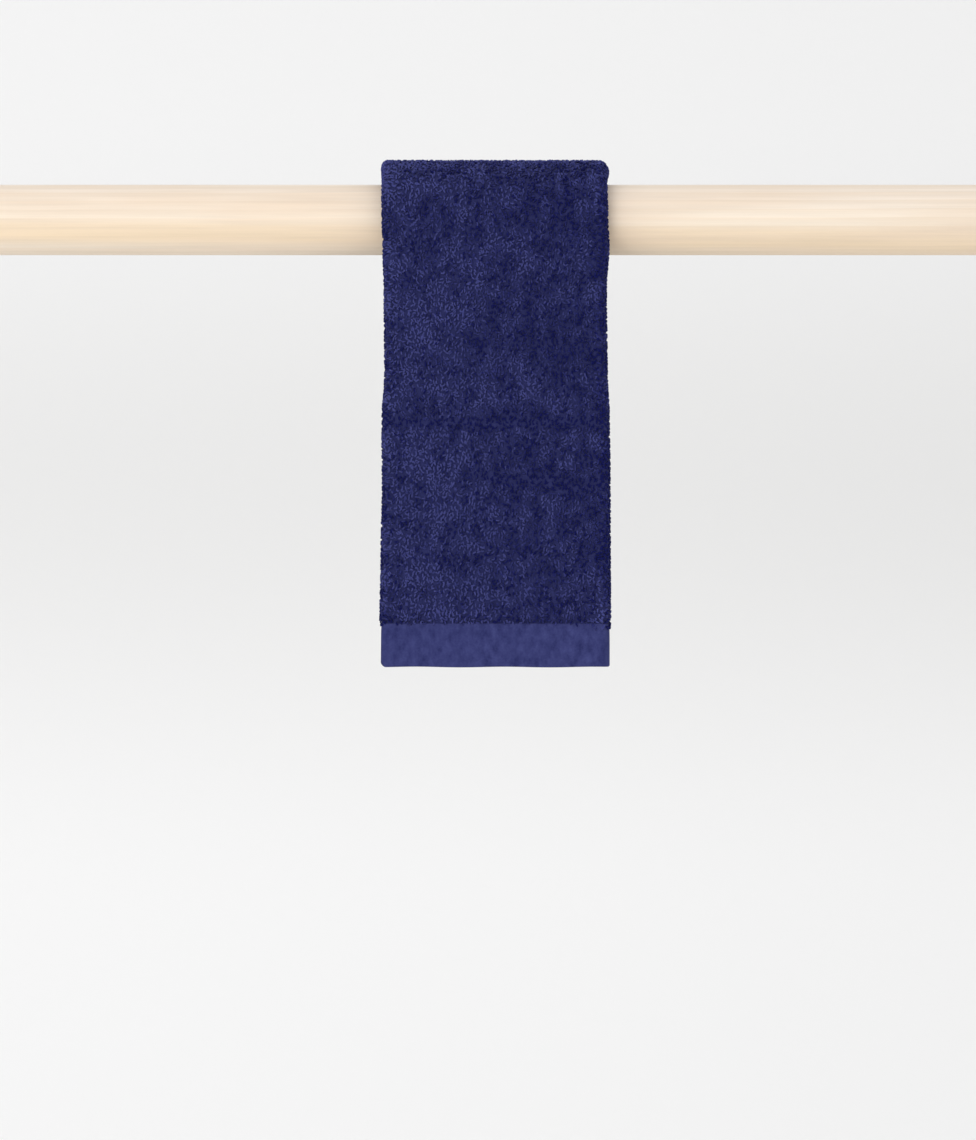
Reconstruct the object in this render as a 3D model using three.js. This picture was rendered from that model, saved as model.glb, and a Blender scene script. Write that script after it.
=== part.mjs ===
// A terry towel, folded in thirds along its length and draped over a round wooden rod.
// Millimetres, +Z up. The origin is the centre of the rod's left end face, +X runs along
// the rod, and the front of the towel faces -Y.

import * as THREE from "three";

// Driving dimensions of the rod
const ROD_DIAMETER = 40;
const ROD_LENGTH = 600;
const ROD_EDGE_BREAK = 1.5;
const ROD_SIDES = 72;

// Driving dimensions of the folded towel
const TOWEL_CENTRE_X = 304;
const FOLDED_WIDTH = 128;
const LAYER_PITCH = 4.75;
const PILE_THICKNESS = 4.2;
const BAND_THICKNESS = 2.2;
const BAND_HEIGHT = 24;
const FRONT_DROP = 254.5;
const BACK_DROP = 244;

// Clearances and easings
const ROD_GAP = 0.5;
const MIDDLE_SELVEDGE_SHORTFALL = 1.2;
const INNER_SELVEDGE_SHORTFALL = 4;
const PILE_EDGE_SLOPE = 1.5;
const BAND_CLOSING = 0.2;
const HEM_RISE_PER_LAYER = 1.2;
const HEM_WAVE = { across: 2.6, phase: 0.9, depth: 0.2 };

// Steps of the mesh
const PANEL_STEPS = 8;
const FOLD_STEPS = 6;
const ROD_WRAP_STEPS = 18;

// Colours and finishes
const NAVY_TERRY = { color: 0x272a55, roughness: 0.95, metalness: 0 };
const PALE_PINE = { color: 0xf0dcc2, roughness: 0.6, metalness: 0 };

// Outline seen from the front and from behind: how far the left and right folds stand from the
// towel's centre line, by height above the rod's axis
const FRONT_OUTLINE = [
  { height: 20, left: 63.9, right: 62.8 },
  { height: -3, left: 63.6, right: 63.4 },
  { height: -17, left: 63.1, right: 64.2 },
  { height: -42, left: 62.5, right: 62.6 },
  { height: -88, left: 62.1, right: 63.1 },
  { height: -118, left: 63.7, right: 64.4 },
  { height: -152, left: 63.4, right: 64.7 },
  { height: -189, left: 64.1, right: 64.8 },
  { height: -228, left: 64.8, right: 65.0 },
  { height: -236, left: 65.2, right: 65.5 },
  { height: -254, left: 65.3, right: 65.5 },
];
const BACK_OUTLINE = [
  { height: 20, left: 63.9, right: 62.8 },
  { height: -60, left: 62.8, right: 62.6 },
  { height: -140, left: 63.6, right: 63.4 },
  { height: -218, left: 64.2, right: 63.8 },
  { height: -226, left: 65.0, right: 64.8 },
  { height: -244, left: 65.2, right: 64.8 },
];

// Creases left by storage folds: soft troughs across the front, from one share of the half width
// to another, with -1 at the left fold and 1 at the right fold, and a fall over the half width
const CREASES = [
  { height: -117, fall: 0, from: -1.5, to: 1.3, breadth: 5, depth: 1.2 },
  { height: -147.5, fall: 4.7, from: -0.45, to: 1.3, breadth: 5, depth: 1.1 },
];
const CREASE_FADE = 0.4;

// Long soft waves across the hanging legs, which grow towards the hems
const LEG_WAVES = [
  { across: 0.9, phase: 0.4, depth: 0.7 },
  { across: 1.7, phase: 2.1, depth: 0.35 },
];

// Mesh rows on the hanging legs, as shares of the way from the rod's axis down to the pile's edge.
// They close up at the creases.
const FRONT_ROWS = [
  0.1, 0.2, 0.29, 0.38, 0.46, 0.486, 0.508, 0.53, 0.556, 0.6, 0.626, 0.644, 0.662, 0.69, 0.75, 0.84, 0.92,
];
const BACK_ROWS = [0.14, 0.28, 0.42, 0.56, 0.7, 0.84];

const { lerp, clamp, smoothstep } = THREE.MathUtils;
const rodRadius = ROD_DIAMETER / 2;
const halfWidth = FOLDED_WIDTH / 2;
const innerDepth = ROD_GAP + PILE_THICKNESS / 2;
const middleDepth = innerDepth + LAYER_PITCH;
const outerDepth = middleDepth + LAYER_PITCH;

// Left and right edge at a height, eased between the rows of an outline table
function edgesAt(outline, height) {
  const lowest = outline[outline.length - 1].height;
  const level = clamp(height, lowest, outline[0].height);
  const next = Math.max(1, outline.findIndex((row) => row.height <= level));
  const above = outline[next - 1];
  const below = outline[next];
  const share = 1 - smoothstep(level, below.height, above.height);
  return { left: lerp(above.left, below.left, share), right: lerp(above.right, below.right, share) };
}

const wave = ({ across, phase, depth }, share) => depth * Math.sin(Math.PI * across * share + phase);

// How far a hanging leg's cloth stands out from plumb, at a share of the half width and a height
function legRelief(share, height, isFront) {
  const hang = smoothstep(-height, 0, FRONT_DROP);
  let relief = 0;
  for (const legWave of LEG_WAVES) relief += hang * wave(legWave, share);
  if (!isFront) return relief;
  for (const crease of CREASES) {
    const started = smoothstep(share, crease.from, crease.from + CREASE_FADE);
    const ended = smoothstep(share, crease.to - CREASE_FADE, crease.to);
    const away = (height - crease.height + crease.fall * share) / crease.breadth;
    relief -= crease.depth * started * (1 - ended) * Math.exp(-away * away);
  }
  return relief;
}

// Middle line of the folded cloth across the towel, as a path of x and depth out from the rod.
// The left third lies in the middle, the centre third outside and the right third against the rod.
function foldedLine() {
  const tightFold = LAYER_PITCH / 2;
  const wideFold = LAYER_PITCH;
  const leftX = -halfWidth + tightFold + PILE_THICKNESS / 2;
  const rightX = halfWidth - wideFold - PILE_THICKNESS / 2;
  const quarter = Math.PI / 2;
  const line = new THREE.Path();
  line.moveTo(rightX - MIDDLE_SELVEDGE_SHORTFALL, middleDepth);
  line.lineTo(leftX, middleDepth);
  line.absarc(leftX, middleDepth + tightFold, tightFold, -quarter, quarter, true);
  line.lineTo(rightX, outerDepth);
  line.absarc(rightX, middleDepth, wideFold, quarter, -quarter, true);
  line.lineTo(-halfWidth + INNER_SELVEDGE_SHORTFALL, innerDepth);
  return line;
}

// Samples along the folded line: a point, and the cloth's normal there
function foldedSection() {
  const samples = [];
  for (const curve of foldedLine().curves) {
    const steps = curve.isLineCurve ? PANEL_STEPS : FOLD_STEPS;
    for (let i = samples.length ? 1 : 0; i <= steps; i += 1) {
      const point = curve.getPoint(i / steps);
      const tangent = curve.getTangent(i / steps);
      samples.push({ x: point.x, depth: point.y, normalX: -tangent.y, normalDepth: tangent.x });
    }
  }
  return samples;
}

// A mesh row on a hanging leg, at a drop below the rod's axis
function legRow(isFront, drop) {
  const fullDrop = isFront ? FRONT_DROP : BACK_DROP;
  const pile = smoothstep(fullDrop - drop, BAND_HEIGHT - PILE_EDGE_SLOPE, BAND_HEIGHT);
  return {
    isFront,
    centreHeight: -drop,
    outlineHeight: -drop,
    outward: { y: isFront ? -1 : 1, z: 0 },
    thickness: lerp(BAND_THICKNESS, PILE_THICKNESS, pile),
    closing: BAND_CLOSING * (1 - pile),
    isHem: drop === fullDrop,
  };
}

// A mesh row where the towel wraps the rod: angle 0 is straight up, and a positive one leans to the front
function wrapRow(angle) {
  return {
    isFront: angle > 0,
    centreHeight: 0,
    outlineHeight: rodRadius * Math.cos(angle),
    outward: { y: -Math.sin(angle), z: Math.cos(angle) },
    thickness: PILE_THICKNESS,
    closing: 0,
    isHem: false,
  };
}

// Drops of a leg's mesh rows, from just under the rod to the hem
function legDrops(shares, fullDrop) {
  const pileEdge = fullDrop - BAND_HEIGHT;
  const bandTop = pileEdge + PILE_EDGE_SLOPE;
  const midBand = lerp(bandTop, fullDrop, 0.5);
  return [...shares.map((share) => share * pileEdge), pileEdge, bandTop, midBand, fullDrop];
}

// Every mesh row from the back hem, up over the rod and down to the front hem
function drapeRows() {
  const rows = legDrops(BACK_ROWS, BACK_DROP).map((drop) => legRow(false, drop)).reverse();
  for (let i = 0; i <= ROD_WRAP_STEPS; i += 1) {
    rows.push(wrapRow(Math.PI * (i / ROD_WRAP_STEPS - 0.5)));
  }
  rows.push(...legDrops(FRONT_ROWS, FRONT_DROP).map((drop) => legRow(true, drop)));
  return rows;
}

// A point of the towel: a sample of the section on a mesh row, on one side of the cloth
function towelPoint(row, sample, side) {
  const half = (side * row.thickness) / 2;
  const share = (sample.x + sample.normalX * half) / halfWidth;
  const edges = edgesAt(row.isFront ? FRONT_OUTLINE : BACK_OUTLINE, row.outlineHeight);
  const layerDepth = lerp(sample.depth, middleDepth, row.closing);
  const relief = legRelief(share, row.centreHeight, row.isFront);
  const radius = rodRadius + layerDepth + sample.normalDepth * half + relief;
  const layersIn = (outerDepth - sample.depth) / LAYER_PITCH;
  const hemLift = row.isHem ? HEM_RISE_PER_LAYER * layersIn + wave(HEM_WAVE, share) : 0;
  return [
    TOWEL_CENTRE_X + share * (share < 0 ? edges.left : edges.right),
    row.outward.y * radius,
    row.centreHeight + row.outward.z * radius + hemLift,
  ];
}

// The towel as one closed mesh: both sides of the folded cloth, swept along the drape, capped at the hems
function towelGeometry() {
  const section = foldedSection();
  const rows = drapeRows();
  const count = section.length;
  const positions = [];
  for (const row of rows) {
    for (const side of [1, -1]) {
      for (const sample of section) positions.push(...towelPoint(row, sample, side));
    }
  }
  const outerSide = [...section.keys()];
  const innerSide = outerSide.map((i) => count + i).reverse();
  const ring = [...outerSide, ...innerSide];
  const index = [];
  const addQuad = (a, b, c, d) => index.push(a, b, c, a, c, d);
  for (let r = 0; r + 1 < rows.length; r += 1) {
    const here = r * ring.length;
    const next = here + ring.length;
    ring.forEach((a, i) => {
      const b = ring[(i + 1) % ring.length];
      addQuad(here + a, next + a, next + b, here + b);
    });
  }
  const lastRow = (rows.length - 1) * ring.length;
  for (let i = 0; i + 1 < count; i += 1) {
    const [a, b, c, d] = [i, i + 1, count + i + 1, count + i];
    addQuad(a, b, c, d);
    addQuad(lastRow + a, lastRow + d, lastRow + c, lastRow + b);
  }
  const geometry = new THREE.BufferGeometry();
  geometry.setAttribute("position", new THREE.Float32BufferAttribute(positions, 3));
  geometry.setIndex(index);
  geometry.computeVertexNormals();
  return geometry;
}

// The rod: a turned cylinder with its end edges broken, lying along +X
function rodGeometry() {
  const endRadius = rodRadius - ROD_EDGE_BREAK;
  const profile = [
    new THREE.Vector2(0, 0),
    new THREE.Vector2(endRadius, 0),
    new THREE.Vector2(rodRadius, ROD_EDGE_BREAK),
    new THREE.Vector2(rodRadius, ROD_LENGTH - ROD_EDGE_BREAK),
    new THREE.Vector2(endRadius, ROD_LENGTH),
    new THREE.Vector2(0, ROD_LENGTH),
  ];
  return new THREE.LatheGeometry(profile, ROD_SIDES).rotateZ(-Math.PI / 2);
}

const towel = new THREE.Mesh(towelGeometry(), new THREE.MeshStandardMaterial(NAVY_TERRY));
towel.name = "towel";

const rod = new THREE.Mesh(rodGeometry(), new THREE.MeshStandardMaterial(PALE_PINE));
rod.name = "rod";

const towelOnRod = new THREE.Group();
towelOnRod.add(rod, towel);

export default towelOnRod;
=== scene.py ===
"""A navy terry towel, folded in thirds along its length and draped over a round pine rod.

Metres, +Z up, and the front of the towel faces -Y. The cloth and its loops of pile are made on the
flat cloth, where x runs across the towel, y runs along it from the back hem to the front hem, and
z is the height over the middle of the cloth. drape() then folds that cloth in thirds and hangs it
over the rod.
"""

import math
from collections import namedtuple

import bmesh
import bpy
import numpy as np
from mathutils import Matrix, Vector


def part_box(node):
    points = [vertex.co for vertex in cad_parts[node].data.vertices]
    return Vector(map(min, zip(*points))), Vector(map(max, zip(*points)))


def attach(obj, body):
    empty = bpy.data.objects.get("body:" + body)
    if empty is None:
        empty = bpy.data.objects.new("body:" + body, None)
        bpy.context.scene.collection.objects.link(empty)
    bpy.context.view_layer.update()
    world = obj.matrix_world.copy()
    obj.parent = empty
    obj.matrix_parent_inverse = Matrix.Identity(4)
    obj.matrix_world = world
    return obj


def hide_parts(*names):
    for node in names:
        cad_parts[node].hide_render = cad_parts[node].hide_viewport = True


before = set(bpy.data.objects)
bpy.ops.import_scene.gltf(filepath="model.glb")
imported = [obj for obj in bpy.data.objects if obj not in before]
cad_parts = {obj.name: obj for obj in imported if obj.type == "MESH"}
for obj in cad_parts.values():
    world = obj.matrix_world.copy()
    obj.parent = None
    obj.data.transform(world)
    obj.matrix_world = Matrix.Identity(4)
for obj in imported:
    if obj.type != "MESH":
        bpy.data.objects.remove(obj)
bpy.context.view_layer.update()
MM = 0.001

# The rod, from the frame
rod_low, rod_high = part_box("rod")
ROD_RADIUS = (rod_high.z - rod_low.z) / 2
ROD_LENGTH = rod_high.x - rod_low.x
ROD_EDGE_BREAK = 1.5 * MM
ROD_SIDES = 128

# The folded towel, in the sizes of its solid
TOWEL_CENTRE_X = 304 * MM
FOLDED_WIDTH = 128 * MM
LAYER_PITCH = 4.75 * MM
PILE_THICKNESS = 4.2 * MM
BAND_THICKNESS = 2.2 * MM
GROUND_THICKNESS = 1.7 * MM
BAND_HEIGHT = 24.4 * MM
FRONT_DROP = 254.5 * MM
BACK_DROP = 244 * MM
ROD_GAP = 0.5 * MM
MIDDLE_SELVEDGE_SHORTFALL = 1.2 * MM
INNER_SELVEDGE_SHORTFALL = 4 * MM
PILE_EDGE_SLOPE = 1.5 * MM
BAND_CLOSING = 0.2
HEM_RISE_PER_LAYER = 1.2 * MM
HEM_NOSE = 1.0 * MM
HEM_CORNER = 1.6 * MM
HEM_CORNER_SPAN = (0.93, 1)
PILE_GROOVE = 1.2 * MM
GROOVE_THICKNESS = 1.0 * MM
PILE_FROM_HEM = 24.8 * MM

# Outline from the front and from behind: how far the left and right folds stand from the towel's
# centre line, by height over the rod's axis, all in millimetres, lowest first
Outline = namedtuple("Outline", "height left right")
FRONT_OUTLINE = (
    Outline(-254, 65.3, 65.5),
    Outline(-236, 65.2, 65.5),
    Outline(-228, 64.8, 65.0),
    Outline(-189, 64.1, 64.8),
    Outline(-152, 63.4, 64.7),
    Outline(-118, 63.7, 64.4),
    Outline(-88, 62.1, 63.1),
    Outline(-42, 62.5, 62.6),
    Outline(-17, 63.1, 64.2),
    Outline(-3, 63.6, 63.4),
    Outline(14, 63.8, 63.2),
    Outline(20, 64.5, 64.6),
)
BACK_OUTLINE = (
    Outline(-244, 65.2, 64.8),
    Outline(-226, 65.0, 64.8),
    Outline(-218, 64.2, 63.8),
    Outline(-140, 63.6, 63.4),
    Outline(-60, 62.8, 62.6),
    Outline(14, 63.8, 63.2),
    Outline(20, 64.5, 64.6),
)

# Creases left by storage folds: soft troughs across the front, from one share of the half width to
# another, with -1 at the left fold and 1 at the right fold, and a fall over the half width. Sizes in
# millimetres.
Crease = namedtuple("Crease", "height fall start end breadth depth")
CREASES = (
    Crease(-117, 0, -1.5, 1.3, 5, 1.2),
    Crease(-147.5, 4.7, -0.45, 1.3, 5, 1.1),
)
CREASE_FADE = 0.4
CREASE_WANDER = 0.4 * MM
CREASE_WANDER_SIZE = 12 * MM
CREASE_SWELL = 9 * MM
# Painted light on the swell below each crease, and painted shade in the crease with a darker painted line
# along its middle
CREASE_SWELL_PAINTED_LIGHT = 0.1
CREASE_PAINTED_SHADE = 0.36
CREASE_LINE_PAINTED_SHADE = 1.08
CREASE_LINE_SHARPNESS = 12
CREASE_PATCH = 5 * MM

# How the nap lies on the front: patches of lighter and darker pile, by their place aside of the centre
# line and below the rod's axis, in millimetres. The left half is painted lighter and the right half darker,
# painted shading for light that falls from the left.
NapPatch = namedtuple("NapPatch", "aside below breadth height light")
NAP_PATCHES = (
    NapPatch(-31, 62, 20, 16, 0.16),
    NapPatch(-36, 142, 24, 12, 0.16),
    NapPatch(-8, 184, 12, 12, 0.2),
    NapPatch(40, 26, 14, 9, 0.14),
    NapPatch(-35, 12, 14, 20, -0.14),
    NapPatch(3, 108, 10, 14, -0.14),
    NapPatch(3, 152, 9, 9, -0.12),
    NapPatch(26, 190, 14, 22, -0.14),
    NapPatch(28, 56, 18, 24, -0.1),
    NapPatch(14, 226, 60, 7, 0.32),
)
NAP_LIGHT = 0.58
# Painted shading across the towel: the left side painted lighter and the right side darker, over this span
# of the half width
SIDE_PAINTED_SHADING = 0.33
SIDE_PAINTED_SHADING_SPAN = (-0.45, 0.35)
# Painted shade: a share of loops painted darker, standing in for the shaded gaps between loops, more of them
# in patches
GAP_SHARE = 0.22
GAP_PAINTED_SHADE = 0.7
GAP_PATCH = 7 * MM
GAP_UNEVEN = 0.8
# Painted shade round the sides of the folds, where they turn away from the light
FOLD_PAINTED_SHADE = 0.28
COLUMN_LIGHT = 0.04
LOOP_LUCK = 0.08

# Mottling of the pile, from broad patches to fine ones
Mottle = namedtuple("Mottle", "size light seed")
NAP_MOTTLES = (
    Mottle(26 * MM, 0.13, 3),
    Mottle(9 * MM, 0.18, 4),
    Mottle(4 * MM, 0.13, 6),
)

# Painted highlight: the pile is painted lighter where it passes over the rod, most of all along the very
# top, standing in for light caught on the crest, and there the painted side shading of the two halves fades
Crest = namedtuple("Crest", "light sharpness")
CREST_PAINTED_HIGHLIGHTS = (Crest(0.8, 12), Crest(0.4, 40))
CREST_SIDE_SHADING_FADE = Crest(0.7, 8)

# Long soft waves across the hanging legs, which grow towards the hems, and a wave of the hem's edge
Wave = namedtuple("Wave", "across phase depth")
LEG_WAVES = (Wave(0.9, 0.4, 0.7 * MM), Wave(1.7, 2.1, 0.35 * MM))
HEM_WAVE = Wave(2.6, 0.9, 0.2 * MM)

# Where the folded line starts and how long its stretches are, worked out from the sizes above
INNER_DEPTH = ROD_GAP + PILE_THICKNESS / 2
MIDDLE_DEPTH = INNER_DEPTH + LAYER_PITCH
OUTER_DEPTH = MIDDLE_DEPTH + LAYER_PITCH
TIGHT_FOLD = LAYER_PITCH / 2
WIDE_FOLD = LAYER_PITCH
HALF_WIDTH = FOLDED_WIDTH / 2
LEFT_X = -HALF_WIDTH + TIGHT_FOLD + PILE_THICKNESS / 2
RIGHT_X = HALF_WIDTH - WIDE_FOLD - PILE_THICKNESS / 2
START_X = RIGHT_X - MIDDLE_SELVEDGE_SHORTFALL
LEFT_FOLD_FROM = START_X - LEFT_X
OUTER_FROM = LEFT_FOLD_FROM + math.pi * TIGHT_FOLD
RIGHT_FOLD_FROM = OUTER_FROM + RIGHT_X - LEFT_X
RIGHT_FOLD_MIDDLE = RIGHT_FOLD_FROM + math.pi * WIDE_FOLD / 2
INNER_FROM = RIGHT_FOLD_FROM + math.pi * WIDE_FOLD
FLAT_WIDTH = INNER_FROM + RIGHT_X + HALF_WIDTH - INNER_SELVEDGE_SHORTFALL
WRAP_RADIUS = ROD_RADIUS + OUTER_DEPTH
FRONT_FROM = BACK_DROP + math.pi * WRAP_RADIUS
FLAT_LENGTH = FRONT_FROM + FRONT_DROP
ROD_TOP_ALONG = BACK_DROP + math.pi * WRAP_RADIUS / 2

# The pile's loops. Sizes are of one loop of yarn over the ground weave.
LOOP_HEIGHT = 0.8 * MM
LOOP_WIDTH = 1.9 * MM
LOOP_CURL = 0.45 * MM
LOOP_ROOT = 0.3 * MM
LEAN_PATCH = 10 * MM
LEAN_UNEVEN = 0.45
LEAN_LUCK = 0.5
LEAN_DOWN = 0.35
LEAN_FROM_CREASE = 1.2
LEAN_STOOP = 0.35
HEIGHT_LUCK = 0.25
WIDTH_LUCK = 0.2
HEADING_LUCK = 0.7
CREASE_FLATTENING = 0.35
FOLD_FLATTENING = 0.35
FOLD_STEADINESS = 0.85
FOLD_FULLNESS = 1.0
# Painted shade along each loop: roots painted darker and tips lighter, about a middle height
TIP_MIDDLE = 0.7
TIP_PAINTED_SHADING = 0.08
LOOP_STATIONS = 6
YARN_SIDES = 3
SEED = 7

# The pile's edge over the band, and how it sags where it rounds the folds
EDGE_SAG_LEFT = 1.5 * MM
EDGE_SAG_RIGHT = 3.6 * MM
EDGE_SAG_REACH = 14 * MM
SAG_SPAN_LEFT = (0.9, 1)
SAG_SPAN_RIGHT = (0.6, 1.05)
EDGE_ROWS_FROM = PILE_FROM_HEM + 1 * MM
EDGE_ROWS_TO = PILE_FROM_HEM + 3 * MM
EDGE_FULLNESS = 0.25
# Painted shade on the pile's first rows over the band, standing in for the shadow under its edge
EDGE_PAINTED_SHADE = 0.05

# Round a fold the tips of the pile spread out from its roots
TIP_REACH = PILE_THICKNESS / 2
FOLD_KNOTS = np.array((0, LEFT_FOLD_FROM, OUTER_FROM, RIGHT_FOLD_FROM, INNER_FROM, FLAT_WIDTH))
TIP_SPREAD = np.array((1, 1 + TIP_REACH / TIGHT_FOLD, 1, 1 + TIP_REACH / WIDE_FOLD, 1))
TIP_KNOTS = np.append(0, np.cumsum(np.diff(FOLD_KNOTS) * TIP_SPREAD))

Field = namedtuple("Field", "name across along pitch yarn")
OUTER_PITCH = 1.95 * MM
INNER_PITCH = 3.3 * MM
OUTER_YARN = 0.55 * MM
INNER_YARN = 0.62 * MM
EDGE_OVERLAP = 5 * MM
OUTER_FACE = (LEFT_FOLD_FROM - EDGE_OVERLAP, INNER_FROM + EDGE_OVERLAP)
INNER_FACE = (INNER_FROM + EDGE_OVERLAP, FLAT_WIDTH)
BACK_PILE_FROM = PILE_FROM_HEM
FRONT_PILE_TO = FLAT_LENGTH - PILE_FROM_HEM
BACK_SPLIT = (BACK_PILE_FROM + BACK_DROP) / 2
FRONT_SPLIT = (FRONT_PILE_TO + FRONT_FROM) / 2
PILE_FIELDS = (
    Field("pile_back_lower", OUTER_FACE, (BACK_PILE_FROM, BACK_SPLIT), OUTER_PITCH, OUTER_YARN),
    Field("pile_back_upper", OUTER_FACE, (BACK_SPLIT, BACK_DROP), OUTER_PITCH, OUTER_YARN),
    Field("pile_over_rod", OUTER_FACE, (BACK_DROP, FRONT_FROM), OUTER_PITCH, OUTER_YARN),
    Field("pile_front_upper", OUTER_FACE, (FRONT_FROM, FRONT_SPLIT), OUTER_PITCH, OUTER_YARN),
    Field("pile_front_lower", OUTER_FACE, (FRONT_SPLIT, FRONT_PILE_TO), OUTER_PITCH, OUTER_YARN),
    Field("pile_inner_back", INNER_FACE, (BACK_PILE_FROM, ROD_TOP_ALONG), INNER_PITCH, INNER_YARN),
    Field("pile_inner_front", INNER_FACE, (ROD_TOP_ALONG, FRONT_PILE_TO), INNER_PITCH, INNER_YARN),
)

# Steps of the ground cloth's mesh across its five stretches and along it
PANEL_STEPS = 26
FOLD_STEPS = 12
ROW_STEP = 4.5 * MM
NOSE_ROWS = (0, 0.15, 0.4, 0.7, 1.0)


# Helpers for places on the flat cloth

def smooth(value, low, high):
    share = np.clip((value - low) / (high - low), 0, 1)
    return share * share * (3 - 2 * share)


def cloud(x, y, size, seed):
    """Soft uneven patches of about that size over x and y, around 0 with a spread of 1."""
    rng = np.random.default_rng(seed)
    total = np.zeros_like(x)
    count = 18
    for _ in range(count):
        length = size * rng.uniform(1.2, 3.0)
        heading = rng.uniform(0, math.tau)
        phase = rng.uniform(0, math.tau)
        run = x * math.cos(heading) + y * math.sin(heading)
        total += np.sin(math.tau * run / length + phase)
    return total * math.sqrt(2 / count)


def outline_at(outline, level):
    """Left and right edge at each height, eased between the rows of an outline table."""
    table = np.array(outline) * MM
    place = np.interp(level, table[:, 0], np.arange(len(table)))
    row = np.clip(np.floor(place).astype(int), 0, len(table) - 2)
    share = smooth(place - row, 0, 1)
    left = table[row, 1] * (1 - share) + table[row + 1, 1] * share
    right = table[row, 2] * (1 - share) + table[row + 1, 2] * share
    return left, right


def crease_offset(crease, share, hang):
    """How far below a crease's wandering line a place is."""
    wander = CREASE_WANDER * cloud(share * HALF_WIDTH, np.zeros_like(share), CREASE_WANDER_SIZE, SEED)
    return hang + crease.height * MM - crease.fall * MM * share + wander


def crease_at(crease, share, hang):
    """How deep in a crease a place on the front is, from 0 to 1."""
    started = smooth(share, crease.start, crease.start + CREASE_FADE)
    ended = smooth(share, crease.end - CREASE_FADE, crease.end)
    away = crease_offset(crease, share, hang) / (crease.breadth * MM)
    return started * (1 - ended) * np.exp(-away * away)


def leg_relief(share, hang, in_front):
    """How far a hanging leg's cloth stands out from plumb."""
    grown = smooth(hang, 0, FRONT_DROP)
    relief = np.zeros_like(share)
    for wave in LEG_WAVES:
        relief += grown * wave.depth * np.sin(math.pi * wave.across * share + wave.phase)
    for crease in CREASES:
        relief -= np.where(in_front, crease.depth * MM * crease_at(crease, share, hang), 0)
    return relief


def fold_across(across, lift):
    """Folds the cloth in thirds: x from the centre line, the layer's depth and the lift's part of it."""
    left_turn = np.clip((across - LEFT_FOLD_FROM) / TIGHT_FOLD, 0, math.pi)
    right_turn = np.clip((across - RIGHT_FOLD_FROM) / WIDE_FOLD, 0, math.pi)
    x = START_X - np.minimum(across, LEFT_FOLD_FROM)
    x = x - TIGHT_FOLD * np.sin(left_turn) + np.clip(across - OUTER_FROM, 0, RIGHT_FOLD_FROM - OUTER_FROM)
    x = x + WIDE_FOLD * np.sin(right_turn) - np.maximum(across - INNER_FROM, 0)
    layer = MIDDLE_DEPTH + TIGHT_FOLD * (1 - np.cos(left_turn)) - WIDE_FOLD * (1 - np.cos(right_turn))
    turn = left_turn + right_turn
    return x - lift * np.sin(turn), layer, -lift * np.cos(turn)


def fold_turn(across):
    """How far round the side of a fold a place is: 0 on the panels, 1 at a fold's outermost line."""
    left_turn = np.clip((across - LEFT_FOLD_FROM) / TIGHT_FOLD, 0, math.pi)
    right_turn = np.clip((across - RIGHT_FOLD_FROM) / WIDE_FOLD, 0, math.pi)
    return np.sin(left_turn) + np.sin(right_turn)


def ground_thickness(across):
    """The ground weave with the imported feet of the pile, fuller where the folds spread it."""
    return GROUND_THICKNESS * (1 + FOLD_FULLNESS * fold_turn(across))


def drape(flat):
    """Folds and hangs points of the flat cloth, given as rows of across, along and lift."""
    across, along, lift = np.asarray(flat, float).T
    x, layer, out = fold_across(across, lift)
    wrap = np.clip((along - BACK_DROP) / WRAP_RADIUS, 0, math.pi) - math.pi / 2
    hang = np.maximum(BACK_DROP - along, 0) + np.maximum(along - FRONT_FROM, 0)
    in_front = along > ROD_TOP_ALONG
    from_hem = np.minimum(along, FLAT_LENGTH - along)

    share = x / HALF_WIDTH
    level = np.where(hang > 0, -hang, ROD_RADIUS * np.cos(wrap))
    front_left, front_right = outline_at(FRONT_OUTLINE, level)
    back_left, back_right = outline_at(BACK_OUTLINE, level)
    left = np.where(in_front, front_left, back_left)
    right = np.where(in_front, front_right, back_right)

    closing = BAND_CLOSING * (1 - smooth(from_hem, BAND_HEIGHT - PILE_EDGE_SLOPE, BAND_HEIGHT))
    depth = layer + (MIDDLE_DEPTH - layer) * closing + out + leg_relief(share, hang, in_front)
    rise = 1 - smooth(across, LEFT_FOLD_FROM, OUTER_FROM) + 2 * smooth(across, RIGHT_FOLD_MIDDLE, INNER_FROM)
    hem_wave = HEM_WAVE.depth * np.sin(math.pi * HEM_WAVE.across * share + HEM_WAVE.phase)
    hem_share = np.clip(1 - from_hem / (BAND_HEIGHT / 2), 0, 1)
    corner = HEM_CORNER * smooth(-share, *HEM_CORNER_SPAN) ** 2
    hem_lift = hem_share * (HEM_RISE_PER_LAYER * rise + hem_wave) + hem_share**3 * corner

    radius = ROD_RADIUS + depth
    return np.column_stack((
        TOWEL_CENTRE_X + share * np.where(share < 0, left, right),
        -np.sin(wrap) * radius,
        np.cos(wrap) * radius - hang + hem_lift,
    ))


# Shader helpers

def new_material(name):
    material = bpy.data.materials.new(name)
    material.use_nodes = True
    material.node_tree.nodes.clear()
    output = material.node_tree.nodes.new("ShaderNodeOutputMaterial")
    shader = material.node_tree.nodes.new("ShaderNodeBsdfPrincipled")
    material.node_tree.links.new(shader.outputs["BSDF"], output.inputs["Surface"])
    return material, shader


def add_node(tree, kind, settings=None, values=None):
    """A node with its own settings and the constant values of its inputs."""
    node = tree.nodes.new(kind)
    for key, value in (settings or {}).items():
        setattr(node, key, value)
    for key, value in (values or {}).items():
        node.inputs[key].default_value = value
    return node


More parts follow.
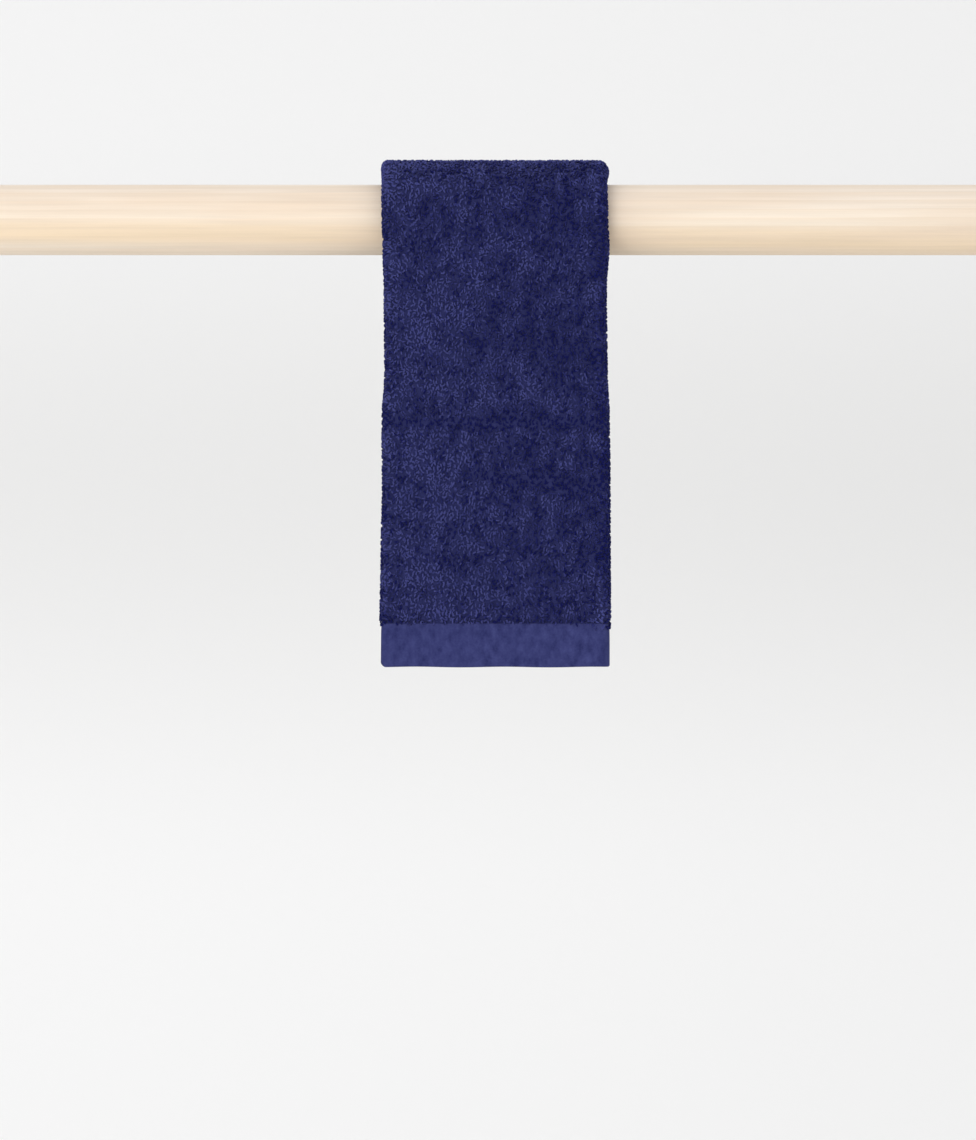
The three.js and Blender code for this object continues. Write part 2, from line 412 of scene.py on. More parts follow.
def mix_colours(tree, factor, first, second, blend="MIX"):
    """A colour mix of two sockets or colours by a socket or a number. Gives its output socket."""
    node = add_node(tree, "ShaderNodeMix", {"data_type": "RGBA", "blend_type": blend})
    for socket, value in (("Factor_Float", factor), ("A_Color", first), ("B_Color", second)):
        target = next(i for i in node.inputs if i.identifier == socket)
        if isinstance(value, bpy.types.NodeSocket):
            tree.links.new(value, target)
        else:
            target.default_value = value
    return next(o for o in node.outputs if o.identifier == "Result_Color")


def spread_value(tree, value, given, wanted, clamp=True):
    """A value spread from one range, its low and high end, to another. Gives its output socket."""
    ends = {"From Min": given[0], "From Max": given[1], "To Min": wanted[0], "To Max": wanted[1]}
    node = add_node(tree, "ShaderNodeMapRange", {"clamp": clamp}, ends)
    tree.links.new(value, node.inputs["Value"])
    return node.outputs["Result"]


def uneven_dye():
    """Node group: a navy colour for a share of light yarn, with the small unevenness of dyed cotton."""
    tree = bpy.data.node_groups.new("uneven_dye", "ShaderNodeTree")
    tree.interface.new_socket("Light Yarn", in_out="INPUT", socket_type="NodeSocketFloat")
    tree.interface.new_socket("Deep", in_out="INPUT", socket_type="NodeSocketColor")
    tree.interface.new_socket("Light", in_out="INPUT", socket_type="NodeSocketColor")
    tree.interface.new_socket("Color", in_out="OUTPUT", socket_type="NodeSocketColor")
    given = tree.nodes.new("NodeGroupInput")
    result = tree.nodes.new("NodeGroupOutput")
    place = tree.nodes.new("ShaderNodeTexCoord")
    fibres = add_node(tree, "ShaderNodeTexNoise", values={"Scale": 900.0, "Detail": 3.0})
    tree.links.new(place.outputs["Object"], fibres.inputs["Vector"])
    spread = spread_value(tree, fibres.outputs["Fac"], (0.25, 0.75), (-0.16, 0.16))
    share = add_node(tree, "ShaderNodeMath", {"operation": "ADD", "use_clamp": True})
    tree.links.new(given.outputs["Light Yarn"], share.inputs[0])
    tree.links.new(spread, share.inputs[1])
    colour = mix_colours(tree, share.outputs[0], given.outputs["Deep"], given.outputs["Light"])
    tree.links.new(colour, result.inputs["Color"])
    return tree


def plain_weave():
    """Node group: height of threads that pass over and under each other, on a map in metres."""
    tree = bpy.data.node_groups.new("plain_weave", "ShaderNodeTree")
    tree.interface.new_socket("Cloth", in_out="INPUT", socket_type="NodeSocketVector")
    tree.interface.new_socket("Warp Pitch", in_out="INPUT", socket_type="NodeSocketFloat")
    tree.interface.new_socket("Weft Pitch", in_out="INPUT", socket_type="NodeSocketFloat")
    tree.interface.new_socket("Height", in_out="OUTPUT", socket_type="NodeSocketFloat")
    given = tree.nodes.new("NodeGroupInput")
    result = tree.nodes.new("NodeGroupOutput")
    split = tree.nodes.new("ShaderNodeSeparateXYZ")
    tree.links.new(given.outputs["Cloth"], split.inputs["Vector"])
    waves = []
    for axis, pitch in (("X", "Warp Pitch"), ("Y", "Weft Pitch")):
        turns = add_node(tree, "ShaderNodeMath", {"operation": "DIVIDE"})
        tree.links.new(split.outputs[axis], turns.inputs[0])
        tree.links.new(given.outputs[pitch], turns.inputs[1])
        angle = add_node(tree, "ShaderNodeMath", {"operation": "MULTIPLY"}, {1: math.pi})
        tree.links.new(turns.outputs[0], angle.inputs[0])
        wave = add_node(tree, "ShaderNodeMath", {"operation": "SINE"})
        tree.links.new(angle.outputs[0], wave.inputs[0])
        waves.append(wave.outputs[0])
    cross = add_node(tree, "ShaderNodeMath", {"operation": "MULTIPLY"})
    tree.links.new(waves[0], cross.inputs[0])
    tree.links.new(waves[1], cross.inputs[1])
    height = add_node(tree, "ShaderNodeMath", {"operation": "ABSOLUTE"})
    tree.links.new(cross.outputs[0], height.inputs[0])
    tree.links.new(height.outputs[0], result.inputs["Height"])
    return tree


DYE = uneven_dye()
WEAVE = plain_weave()

# Yarn colours, linear
DEEP_NAVY = (0.0040, 0.0060, 0.0800, 1)
LIGHT_NAVY = (0.0535, 0.0605, 0.2200, 1)
BAND_DEEP = (0.014, 0.017, 0.085, 1)
BAND_LIGHT = (0.050, 0.057, 0.185, 1)
GROUND_DEEP = (0.012, 0.014, 0.066, 1)
GROUND_LIGHT = (0.028, 0.032, 0.122, 1)

# Pine colours, linear: from the heart's side outwards, of the dense late wood and of warm patches
PINE_BY_AGE = (
    (0.0, (0.79, 0.68, 0.555, 1)),
    (0.15, (0.82, 0.655, 0.465, 1)),
    (0.38, (0.83, 0.675, 0.50, 1)),
    (0.52, (0.875, 0.76, 0.625, 1)),
    (1.0, (0.875, 0.765, 0.655, 1)),
)
LATE_WOOD = (0.77, 0.62, 0.46, 1)
WARM_WOOD = (0.80, 0.645, 0.50, 1)


def set_cotton(shader):
    shader.inputs["Roughness"].default_value = 0.9
    shader.inputs["Specular IOR Level"].default_value = 0.1
    shader.inputs["Sheen Weight"].default_value = 0.05
    shader.inputs["Sheen Roughness"].default_value = 0.5
    shader.inputs["Sheen Tint"].default_value = (0.75, 0.78, 0.95, 1)


def dyed(tree, deep, light):
    node = tree.nodes.new("ShaderNodeGroup")
    node.node_tree = DYE
    node.inputs["Deep"].default_value = deep
    node.inputs["Light"].default_value = light
    return node


def loop_yarn():
    """The loops' cotton yarn. Its share of light yarn comes with each loop and carries painted light and
    shade as well as the yarn's own tone.
    """
    material, shader = new_material("loop_yarn")
    tree = material.node_tree
    set_cotton(shader)
    light = add_node(tree, "ShaderNodeAttribute", {"attribute_name": "yarn_tone_and_painted_light"})
    colour = dyed(tree, DEEP_NAVY, LIGHT_NAVY)
    tree.links.new(light.outputs["Fac"], colour.inputs["Light Yarn"])
    tree.links.new(colour.outputs["Color"], shader.inputs["Base Color"])
    return material


def woven_cloth(name, deep, light, warp, weft, relief):
    """Flat weave on the cloth's own map in metres."""
    material, shader = new_material(name)
    tree = material.node_tree
    set_cotton(shader)
    cloth = add_node(tree, "ShaderNodeUVMap", {"uv_map": "cloth"})
    weave = tree.nodes.new("ShaderNodeGroup")
    weave.node_tree = WEAVE
    weave.inputs["Warp Pitch"].default_value = warp
    weave.inputs["Weft Pitch"].default_value = weft
    tree.links.new(cloth.outputs["UV"], weave.inputs["Cloth"])
    streaks = add_node(tree, "ShaderNodeMapping")
    streaks.inputs["Scale"].default_value = (230, 130, 1)
    tree.links.new(cloth.outputs["UV"], streaks.inputs["Vector"])
    slubs = add_node(tree, "ShaderNodeTexNoise", values={"Scale": 1.0, "Detail": 2.0})
    tree.links.new(streaks.outputs["Vector"], slubs.inputs["Vector"])
    uneven = spread_value(tree, slubs.outputs["Fac"], (0.3, 0.7), (0.17, 0.73), clamp=False)
    share = add_node(tree, "ShaderNodeMath", {"operation": "MULTIPLY_ADD"}, {1: 0.2})
    tree.links.new(weave.outputs["Height"], share.inputs[0])
    tree.links.new(uneven, share.inputs[2])
    colour = dyed(tree, deep, light)
    tree.links.new(share.outputs[0], colour.inputs["Light Yarn"])
    tree.links.new(colour.outputs["Color"], shader.inputs["Base Color"])
    bump = add_node(tree, "ShaderNodeBump", values={"Strength": 0.7, "Distance": relief})
    tree.links.new(weave.outputs["Height"], bump.inputs["Height"])
    tree.links.new(bump.outputs["Normal"], shader.inputs["Normal"])
    return material


def pale_pine():
    """Pine cut beside the heart: rings that run out along the rod as soft streaks, and fine fibres."""
    material, shader = new_material("pale_pine")
    tree = material.node_tree
    shader.inputs["Roughness"].default_value = 0.6
    shader.inputs["Specular IOR Level"].default_value = 0.3
    place = tree.nodes.new("ShaderNodeTexCoord")

    heart = add_node(tree, "ShaderNodeMapping")
    heart.inputs["Location"].default_value = (0, 0.018, 0.052)
    heart.inputs["Rotation"].default_value = (0, math.radians(0.6), math.radians(-0.5))
    heart.inputs["Scale"].default_value = (0.12, 1, 1)
    tree.links.new(place.outputs["Object"], heart.inputs["Vector"])
    rings = add_node(
        tree,
        "ShaderNodeTexWave",
        {"wave_type": "RINGS", "rings_direction": "X", "wave_profile": "SAW"},
        {"Scale": 62.0, "Distortion": 1.6, "Detail": 2.0, "Detail Scale": 0.6},
    )
    tree.links.new(heart.outputs["Vector"], rings.inputs["Vector"])

    grain = add_node(tree, "ShaderNodeMapping")
    grain.inputs["Scale"].default_value = (9, 420, 420)
    tree.links.new(place.outputs["Object"], grain.inputs["Vector"])
    fibres = add_node(tree, "ShaderNodeTexNoise", values={"Scale": 1.0, "Detail": 5.0, "Roughness": 0.6})
    tree.links.new(grain.outputs["Vector"], fibres.inputs["Vector"])

    patches = add_node(tree, "ShaderNodeMapping")
    patches.inputs["Scale"].default_value = (7, 60, 60)
    tree.links.new(place.outputs["Object"], patches.inputs["Vector"])
    warmth = add_node(tree, "ShaderNodeTexNoise", values={"Scale": 1.0, "Detail": 2.0})
    tree.links.new(patches.outputs["Vector"], warmth.inputs["Vector"])

    from_heart = add_node(tree, "ShaderNodeMapping")
    from_heart.inputs["Location"].default_value = (0, 0.018, 0.0505)
    from_heart.inputs["Rotation"].default_value = (0, math.radians(-0.55), 0)
    tree.links.new(place.outputs["Object"], from_heart.inputs["Vector"])
    across_grain = add_node(tree, "ShaderNodeVectorMath", {"operation": "MULTIPLY"}, {1: (0, 1, 1)})
    tree.links.new(from_heart.outputs["Vector"], across_grain.inputs[0])
    reach = add_node(tree, "ShaderNodeVectorMath", {"operation": "LENGTH"})
    tree.links.new(across_grain.outputs["Vector"], reach.inputs[0])
    age = spread_value(tree, reach.outputs["Value"], (0.035, 0.065), (0, 1))
    wood = add_node(tree, "ShaderNodeValToRGB")
    ramp = wood.color_ramp.elements
    ramp[0].position, ramp[0].color = PINE_BY_AGE[0]
    ramp[1].position, ramp[1].color = PINE_BY_AGE[-1]
    for position, colour in PINE_BY_AGE[1:-1]:
        ramp.new(position).color = colour
    tree.links.new(age, wood.inputs["Fac"])

    late = spread_value(tree, rings.outputs["Fac"], (0.35, 1), (0, 0.4))
    ringed = mix_colours(tree, late, wood.outputs["Color"], LATE_WOOD)
    warm = spread_value(tree, warmth.outputs["Fac"], (0.4, 0.7), (0, 0.7))
    warmed = mix_colours(tree, warm, ringed, WARM_WOOD)
    fibre = spread_value(tree, fibres.outputs["Fac"], (0.3, 0.7), (0.9, 1))
    streaked = mix_colours(tree, 1.0, warmed, fibre, "MULTIPLY")
    tree.links.new(streaked, shader.inputs["Base Color"])

    bump = add_node(tree, "ShaderNodeBump", values={"Strength": 0.25, "Distance": 0.0002})
    tree.links.new(fibres.outputs["Fac"], bump.inputs["Height"])
    tree.links.new(bump.outputs["Normal"], shader.inputs["Normal"])
    return material


# Pieces

def finish_piece(name, mesh, materials):
    """Links a mesh as a piece that rides on the part, with the given materials in its slots."""
    piece = bpy.data.objects.new(name, mesh)
    bpy.context.scene.collection.objects.link(piece)
    for material in materials:
        mesh.materials.append(material)
    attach(piece, "root")
    return piece


def pine_rod():
    """A turned rod with softened end edges."""
    bm = bmesh.new()
    made = bmesh.ops.create_circle(bm, cap_ends=True, segments=ROD_SIDES, radius=ROD_RADIUS)
    bmesh.ops.rotate(bm, verts=made["verts"], matrix=Matrix.Rotation(math.pi / 2, 3, "Y"))
    pulled = bmesh.ops.extrude_face_region(bm, geom=bm.faces[:], use_keep_orig=True)
    far_end = [g for g in pulled["geom"] if isinstance(g, bmesh.types.BMVert)]
    bmesh.ops.translate(bm, verts=far_end, vec=(ROD_LENGTH, 0, 0))
    bmesh.ops.recalc_face_normals(bm, faces=bm.faces)
    rims = [e for e in bm.edges if abs(e.verts[0].co.x - e.verts[1].co.x) < MM]
    bmesh.ops.bevel(
        bm, geom=rims, offset=ROD_EDGE_BREAK, segments=4, profile=0.5, affect="EDGES", material=-1
    )
    mesh = bpy.data.meshes.new("pine_rod")
    bm.to_mesh(mesh)
    bm.free()
    mesh.shade_smooth()
    mesh.set_sharp_from_angle(angle=math.radians(40))
    piece = finish_piece("pine_rod", mesh, [pale_pine()])
    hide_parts("rod")
    return piece


def cloth_columns():
    """Places across the flat cloth: few on its panels and more round its folds."""
    stretches = (
        (0, LEFT_FOLD_FROM, PANEL_STEPS),
        (LEFT_FOLD_FROM, OUTER_FROM, FOLD_STEPS),
        (OUTER_FROM, RIGHT_FOLD_FROM, PANEL_STEPS),
        (RIGHT_FOLD_FROM, INNER_FROM, FOLD_STEPS),
        (INNER_FROM, FLAT_WIDTH, PANEL_STEPS),
    )
    places = [np.linspace(start, end, steps, endpoint=False) for start, end, steps in stretches]
    return np.append(np.concatenate(places), FLAT_WIDTH)


def cloth_rows():
    """Places along the flat cloth, closer at the rounded hems and at the pile's edges."""
    nose = np.array(NOSE_ROWS) * HEM_NOSE
    band = np.linspace(2.5 * MM, BAND_HEIGHT - 4 * MM, 5)
    groove = BAND_HEIGHT + PILE_GROOVE * np.array((-0.5, 0, 0.5, 1, 1.5, 2))
    hem = np.concatenate((nose, band, groove))
    middle_from = hem[-1] + ROW_STEP
    middle_to = FLAT_LENGTH - middle_from
    middle = np.linspace(middle_from, middle_to, round((middle_to - middle_from) / ROW_STEP) + 1)
    return np.concatenate((hem, middle, FLAT_LENGTH - hem[::-1]))


def towel_cloth():
    """The woven ground of the towel with its flat bands and hems, cut flat and then draped."""
    columns = cloth_columns()
    rows = cloth_rows()
    bm = bmesh.new()
    bmesh.ops.create_grid(bm, x_segments=len(columns) - 1, y_segments=len(rows) - 1, size=0.5)
    pulled = bmesh.ops.extrude_face_region(bm, geom=bm.faces[:], use_keep_orig=True)
    upper = [g for g in pulled["geom"] if isinstance(g, bmesh.types.BMVert)]
    bmesh.ops.translate(bm, verts=upper, vec=(0, 0, 1))
    bmesh.ops.recalc_face_normals(bm, faces=bm.faces)
    mesh = bpy.data.meshes.new("towel_cloth")
    bm.to_mesh(mesh)
    bm.free()

    grid = np.zeros(len(mesh.vertices) * 3)
    mesh.vertices.foreach_get("co", grid)
    grid = grid.reshape(-1, 3)
    across = columns[np.rint((grid[:, 0] + 0.5) * (len(columns) - 1)).astype(int)]
    along = rows[np.rint((grid[:, 1] + 0.5) * (len(rows) - 1)).astype(int)]
    from_hem = np.minimum(along, FLAT_LENGTH - along)
    groove = smooth(from_hem, BAND_HEIGHT, BAND_HEIGHT + PILE_GROOVE / 2)
    pile = smooth(from_hem, BAND_HEIGHT + PILE_GROOVE, BAND_HEIGHT + 2 * PILE_GROOVE)
    thickness = BAND_THICKNESS + (GROOVE_THICKNESS - BAND_THICKNESS) * groove
    thickness += (ground_thickness(across) - GROOVE_THICKNESS) * pile
    nose = np.sqrt(1 - np.clip(1 - from_hem / HEM_NOSE, 0, 0.95) ** 2)
    lift = np.where(grid[:, 2] > 0.5, 0.5, -0.5) * thickness * nose
    placed = drape(np.column_stack((across, along, lift)))
    mesh.vertices.foreach_set("co", placed.ravel())

    corners = np.zeros(len(mesh.loops), int)
    mesh.loops.foreach_get("vertex_index", corners)
    cloth_map = mesh.uv_layers.new(name="cloth")
    cloth_map.uv.foreach_set("vector", np.column_stack((across, along))[corners].ravel())
    for face in mesh.polygons:
        middle = np.mean(along[list(face.vertices)])
        face.material_index = int(min(middle, FLAT_LENGTH - middle) < BAND_HEIGHT)
    mesh.update()
    mesh.shade_smooth()

    ground = woven_cloth("ground_weave", GROUND_DEEP, GROUND_LIGHT, 0.9 * MM, 0.9 * MM, 0.25 * MM)
    band = woven_cloth("band_weave", BAND_DEEP, BAND_LIGHT, 0.55 * MM, 0.5 * MM, 0.12 * MM)
    piece = finish_piece("towel_cloth", mesh, [ground, band])
    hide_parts("towel")
    return piece


def loop_places(field, rng):
    """Roots of the loops on the flat cloth: even rows of the weave, each loop a little off its place."""
    tip_from, tip_to = np.interp(field.across, FOLD_KNOTS, TIP_KNOTS)
    tips = np.arange(tip_from + field.pitch / 2, tip_to, field.pitch)
    along = np.arange(field.along[0] + field.pitch / 2, field.along[1], field.pitch)
    column, row = np.meshgrid(np.arange(len(tips)), np.arange(len(along)), indexing="ij")
    column, row = column.ravel(), row.ravel()
    strayed = tips[column] + rng.uniform(-0.42, 0.42, len(column)) * field.pitch
    u = np.interp(strayed, TIP_KNOTS, FOLD_KNOTS)
    v = along[row] + rng.uniform(-0.5, 0.5, len(row)) * field.pitch
    return u, v, column, row


def hanging_place(u, v):
    """Share of the half width, hang below the rod's axis and which way along the cloth is down."""
    x, _, _ = fold_across(u, np.zeros_like(u))
    hang = np.maximum(BACK_DROP - v, 0) + np.maximum(v - FRONT_FROM, 0)
    return x / HALF_WIDTH, hang, np.where(v > ROD_TOP_ALONG, 1.0, -1.0)


def crease_parting(u, v):
    """How deep in a crease each loop stands, and the lean that parts the pile there."""
    share, hang, downhill = hanging_place(u, v)
    strength = 0.85 + 0.3 * cloud(u, v, CREASE_PATCH, SEED + 5)
    depth = np.zeros_like(u)
    lean = np.zeros_like(u)
    for crease in CREASES:
        inside = np.where(downhill > 0, crease_at(crease, share, hang), 0) * strength
        depth += inside
        lean += inside * np.sign(crease_offset(crease, share, hang))
    return depth, lean


def edge_row(v):
    """1 in the pile's first rows over the band and 0 above them."""
    from_hem = np.minimum(v, FLAT_LENGTH - v)
    return 1 - smooth(from_hem, EDGE_ROWS_FROM, EDGE_ROWS_TO)


def edge_sag(u, v):
    """How far the pile's edge sags over the band where it rounds the folds."""
    share, _, downhill = hanging_place(u, v)
    from_hem = np.minimum(v, FLAT_LENGTH - v)
    near = smooth(-from_hem, -PILE_FROM_HEM - EDGE_SAG_REACH, -PILE_FROM_HEM)
    sag = EDGE_SAG_LEFT * smooth(-share, *SAG_SPAN_LEFT)
    sag = sag + EDGE_SAG_RIGHT * smooth(share, *SAG_SPAN_RIGHT)
    return downhill * near * sag


def loop_paths(u, v, rng):
    """Middle line of each loop on the flat cloth: up out of the ground, over in a curl and back down."""
    count = len(u)
    _, _, downhill = hanging_place(u, v)
    parted, part_lean = crease_parting(u, v)
    lean_across = LEAN_UNEVEN * cloud(u, v, LEAN_PATCH, SEED + 1) + rng.normal(0, LEAN_LUCK, count)
    lean_along = LEAN_UNEVEN * cloud(u, v, LEAN_PATCH, SEED + 2) + rng.normal(0, LEAN_LUCK, count)
    lean_along += LEAN_DOWN * downhill + LEAN_FROM_CREASE * part_lean
    turn = fold_turn(u)
    luck = rng.uniform(-HEIGHT_LUCK, HEIGHT_LUCK, count)
    height = LOOP_HEIGHT * (1 + luck * (1 - FOLD_STEADINESS * turn)) * (1 - FOLD_FLATTENING * turn)
    height *= (1 - CREASE_FLATTENING * np.clip(parted, 0, 1)) * (1 + EDGE_FULLNESS * edge_row(v))
    width = LOOP_WIDTH * rng.uniform(1 - WIDTH_LUCK, 1 + WIDTH_LUCK, count)
    curl = LOOP_CURL * rng.uniform(-1, 1, count)
    heading = math.pi / 2 + rng.normal(0, HEADING_LUCK, count)

    t = np.linspace(0, 1, LOOP_STATIONS)
    arch = np.sin(math.pi * t)
    up = arch**0.75
    bow = up**1.5
    side = width[:, None] * -np.cos(math.pi * t) * (0.3 + 0.3 * arch)
    twist = curl[:, None] * np.sin(math.tau * t)
    line_u = u[:, None] + side * np.cos(heading)[:, None] - twist * np.sin(heading)[:, None]
    line_v = v[:, None] + side * np.sin(heading)[:, None] + twist * np.cos(heading)[:, None]
    line_u += (lean_across * height)[:, None] * bow
    line_v += (lean_along * height)[:, None] * bow + edge_sag(u, v)[:, None]
    stoop = 1 / np.sqrt(1 + LEAN_STOOP * (lean_across**2 + lean_along**2))
    ground = ground_thickness(u)
    ground = ground + np.minimum(BAND_THICKNESS - ground, 0) * edge_row(v)
    base = ground / 2 - LOOP_ROOT
    lift = base[:, None] + (height * stoop + LOOP_ROOT)[:, None] * up
    return np.stack((line_u, line_v, lift), axis=2), heading


def tube_points(lines, heading, radius):
    """Rings of yarn round each loop's middle line."""
    run = np.gradient(lines, axis=1)
    run /= np.linalg.norm(run, axis=2, keepdims=True)
    flat_side = np.stack((-np.sin(heading), np.cos(heading), np.zeros_like(heading)), axis=1)
    first = np.cross(run, flat_side[:, None, :])
    first /= np.linalg.norm(first, axis=2, keepdims=True)
    second = np.cross(first, run)
    angles = math.tau * np.arange(YARN_SIDES) / YARN_SIDES
    ring = np.cos(angles)[:, None] * second[:, :, None, :] + np.sin(angles)[:, None] * first[:, :, None, :]
    return lines[:, :, None, :] + radius * ring


def loop_faces(count):
    """Faces of the joined loops and each face corner's place in its loop's cell of the pile's map."""
    quads, quad_cells = [], []
    for station in range(LOOP_STATIONS - 1):
        for side in range(YARN_SIDES):
            around = ((station, side), (station, side + 1), (station + 1, side + 1), (station + 1, side))
            quads.append([s * YARN_SIDES + k % YARN_SIDES for s, k in around])
            quad_cells.append([(k / YARN_SIDES, s / (LOOP_STATIONS - 1)) for s, k in around])
    last = (LOOP_STATIONS - 1) * YARN_SIDES
    caps = [list(range(YARN_SIDES))[::-1], [last + k for k in range(YARN_SIDES)]]
    cap_cells = [[(0.4, 0.05), (0.5, 0.1), (0.6, 0.05)], [(0.4, 0.95), (0.5, 0.9), (0.6, 0.95)]]
    starts = np.arange(count) * LOOP_STATIONS * YARN_SIDES
    faces = (starts[:, None, None] + np.array(quads)).reshape(-1, 4).tolist()
    faces += (starts[:, None, None] + np.array(caps)).reshape(-1, YARN_SIDES).tolist()
    return faces, np.array(quad_cells).reshape(-1, 2), np.array(cap_cells).reshape(-1, 2)


def nap_patches(share, hang):
    """Light and dark patches brushed into the front's pile."""
    nap = np.zeros_like(share)
    for patch in NAP_PATCHES:
        aside = (share * HALF_WIDTH - patch.aside * MM) / (patch.breadth * MM)
        below = (hang - patch.below * MM) / (patch.height * MM)
        nap += patch.light * np.exp(-aside * aside - below * below)
    return nap


def crease_painted_shade(share, hang):
    """Painted shade: a dark line painted in each crease, and painted light on the swell below it."""
    shade = np.zeros_like(share)
    for crease in CREASES:
        inside = crease_at(crease, share, hang)
        below = crease_at(crease, share, hang - CREASE_SWELL)
        line = inside**CREASE_LINE_SHARPNESS
        shade += CREASE_SWELL_PAINTED_LIGHT * below - CREASE_PAINTED_SHADE * inside - CREASE_LINE_PAINTED_SHADE * line
    return shade


def loop_lightness(u, v, column, rng):
    """Share of light yarn of each loop: how the nap lies and its own luck, with painted shading across the
    front, a painted highlight on the crest, painted shade on the pile's edge, the fold sides, the creases
    and a share of loops for shaded gaps, and painted light below the creases.
    """
    share, hang, downhill = hanging_place(u, v)
    upward = np.cos(np.clip((v - ROD_TOP_ALONG) / WRAP_RADIUS, -math.pi / 2, math.pi / 2))
    side_shading_fade = CREST_SIDE_SHADING_FADE.light * upward**CREST_SIDE_SHADING_FADE.sharpness
    # painted shading: the left side lighter and the right side darker, fading over the crest
    light = NAP_LIGHT + SIDE_PAINTED_SHADING * (1 - side_shading_fade) * (0.5 - smooth(share, *SIDE_PAINTED_SHADING_SPAN))
    # painted highlight along the crest over the rod
    for crest in CREST_PAINTED_HIGHLIGHTS:
        light += crest.light * upward**crest.sharpness
    for mottle in NAP_MOTTLES:
        light += mottle.light * cloud(u, v, mottle.size, SEED + mottle.seed)
    # painted shade on the pile's edge rows and round the sides of the folds
    light -= EDGE_PAINTED_SHADE * edge_row(v) + FOLD_PAINTED_SHADE * fold_turn(u)
    light += np.where(downhill > 0, nap_patches(share, hang) + crease_painted_shade(share, hang), 0)
    light += COLUMN_LIGHT * np.random.default_rng(SEED + 8).normal(0, 1, column.max() + 1)[column]
    # painted shade: loops painted darker for the shaded gaps between loops
    painted_gap = rng.uniform(0, 1, len(u)) < GAP_SHARE * (1 + GAP_UNEVEN * cloud(u, v, GAP_PATCH, SEED + 7))
    return light - GAP_PAINTED_SHADE * painted_gap + rng.normal(0, LOOP_LUCK, len(u))


def pile_piece(field, material):
    """One stretch of pile: every loop a closed tube of yarn, joined in one mesh and draped."""
    rng = np.random.default_rng([SEED, PILE_FIELDS.index(field)])
    u, v, column, row = loop_places(field, rng)
    lines, heading = loop_paths(u, v, rng)
    rings = tube_points(lines, heading, field.yarn)
    faces, quad_cells, cap_cells = loop_faces(len(u))
    mesh = bpy.data.meshes.new(field.name)
    mesh.from_pydata(drape(rings.reshape(-1, 3)), [], faces)

    # painted shading along each loop: darker roots, lighter tips
    root_to_tip_shading = np.sin(math.pi * np.linspace(0, 1, LOOP_STATIONS)) - TIP_MIDDLE
    light = loop_lightness(u, v, column, rng)[:, None] + TIP_PAINTED_SHADING * root_to_tip_shading
    attribute = mesh.attributes.new("yarn_tone_and_painted_light", "FLOAT", "POINT")
    attribute.data.foreach_set("value", np.repeat(light, YARN_SIDES).astype(np.float32))

    cells = np.stack((column, row), axis=1)[:, None, :]
    margin = 0.08
    spread = 1 - 2 * margin
    size = cells.max(axis=0) + 1
    places = [(cells + margin + spread * part).reshape(-1, 2) / size for part in (quad_cells, cap_cells)]
    pile_map = mesh.uv_layers.new(name="OFBake")
    pile_map.uv.foreach_set("vector", np.concatenate(places).ravel())
    mesh.shade_smooth()
    return finish_piece(field.name, mesh, [material])


# Studio

CAMERA_BACK = 1.8
CAMERA_AIM = Vector((0.300, 0, -0.200))
VIEW_HEIGHT = 0.6514
SENSOR = 36.0
FLOOR_Z = -1.3
WALL_Y = 3.0
COVE = 1.2

# Painted shade on the paper, from the floor up: painted a shade deeper low on the wall, standing in for less
# light there
PAPER_PAINTED_SHADE_BY_LEVEL = (
    (0.25, (0.97, 0.97, 0.97, 1)),
    (0.52, (0.86, 0.858, 0.854, 1)),
    (0.75, (0.94, 0.94, 0.94, 1)),
)
PAPER_LEVELS = (FLOOR_Z, FLOOR_Z + 2.4)
# Painted shade across the paper: a little darker towards the right
PAPER_SIDES = (-1.0, 1.6)
PAPER_PAINTED_SHADE_LEFT = 1.0
PAPER_PAINTED_SHADE_RIGHT = 0.95


def add_camera():
    data = bpy.data.cameras.new("camera")
    data.sensor_width = SENSOR
    data.lens = SENSOR * CAMERA_BACK / VIEW_HEIGHT
    camera = bpy.data.objects.new("camera", data)
    camera.location = CAMERA_AIM + Vector((0, -CAMERA_BACK, 0))
    camera.rotation_euler = (math.pi / 2, 0, 0)
    bpy.context.scene.collection.objects.link(camera)
    bpy.context.scene.camera = camera


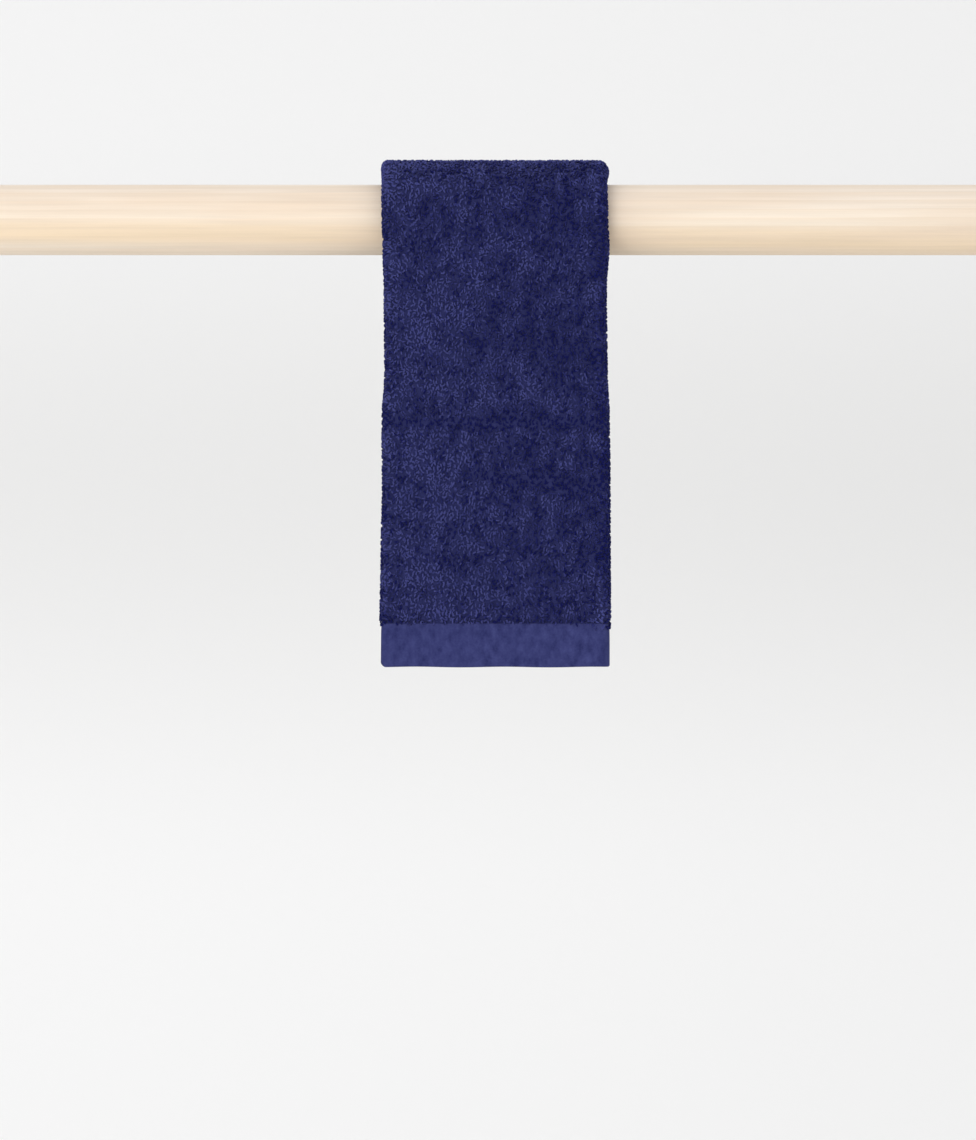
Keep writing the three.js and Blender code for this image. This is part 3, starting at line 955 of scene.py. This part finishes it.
def add_backdrop():
    """A pale floor that sweeps up into a wall, with painted shade low on the wall and towards the right."""
    bm = bmesh.new()
    bmesh.ops.create_grid(bm, x_segments=1, y_segments=1, size=5)
    bmesh.ops.translate(bm, verts=bm.verts, vec=(0, WALL_Y - 5, FLOOR_Z))
    far = [e for e in bm.edges if all(v.co.y > WALL_Y - MM for v in e.verts)]
    raised = bmesh.ops.extrude_edge_only(bm, edges=far)
    top = [g for g in raised["geom"] if isinstance(g, bmesh.types.BMVert)]
    bmesh.ops.translate(bm, verts=top, vec=(0, 0, 6))
    corner = [e for e in bm.edges if len(e.link_faces) == 2]
    bmesh.ops.bevel(bm, geom=corner, offset=COVE, segments=24, profile=0.5, affect="EDGES", material=-1)
    mesh = bpy.data.meshes.new("backdrop")
    bm.to_mesh(mesh)
    bm.free()
    mesh.shade_smooth()
    material, shader = new_material("pale_paper")
    shader.inputs["Roughness"].default_value = 0.9
    tree = material.node_tree
    place = tree.nodes.new("ShaderNodeTexCoord")
    split = tree.nodes.new("ShaderNodeSeparateXYZ")
    tree.links.new(place.outputs["Object"], split.inputs["Vector"])
    level = spread_value(tree, split.outputs["Z"], PAPER_LEVELS, (0, 1))
    paper = add_node(tree, "ShaderNodeValToRGB")
    ramp = paper.color_ramp
    ramp.interpolation = "EASE"
    ramp.elements[0].position, ramp.elements[0].color = PAPER_PAINTED_SHADE_BY_LEVEL[0]
    ramp.elements[1].position, ramp.elements[1].color = PAPER_PAINTED_SHADE_BY_LEVEL[-1]
    for position, colour in PAPER_PAINTED_SHADE_BY_LEVEL[1:-1]:
        ramp.elements.new(position).color = colour
    tree.links.new(level, paper.inputs["Fac"])
    aside = spread_value(tree, split.outputs["X"], PAPER_SIDES, (PAPER_PAINTED_SHADE_LEFT, PAPER_PAINTED_SHADE_RIGHT))
    painted_shade_paper = mix_colours(tree, 1.0, paper.outputs["Color"], aside, "MULTIPLY")
    tree.links.new(painted_shade_paper, shader.inputs["Base Color"])
    mesh.materials.append(material)
    backdrop = bpy.data.objects.new("backdrop", mesh)
    bpy.context.scene.collection.objects.link(backdrop)


def add_light(name, place, aim, size, power):
    data = bpy.data.lights.new(name, "AREA")
    data.shape = "DISK"
    data.size = size
    data.energy = power
    light = bpy.data.objects.new(name, data)
    light.location = place
    light.rotation_euler = (Vector(aim) - Vector(place)).to_track_quat("-Z", "Y").to_euler()
    bpy.context.scene.collection.objects.link(light)


def add_room_light():
    world = bpy.data.worlds.new("room")
    world.use_nodes = True
    background = world.node_tree.nodes["Background"]
    background.inputs["Color"].default_value = (1, 1, 1, 1)
    background.inputs["Strength"].default_value = 0.9
    bpy.context.scene.world = world


add_camera()
add_backdrop()
add_room_light()
add_light("key", (-0.8, -2.7, 0.3), CAMERA_AIM, 1.8, 26)
bpy.context.scene.view_settings.view_transform = "Standard"

pine_rod()
cloth = towel_cloth()
yarn = loop_yarn()
pile = [pile_piece(field, yarn) for field in PILE_FIELDS]
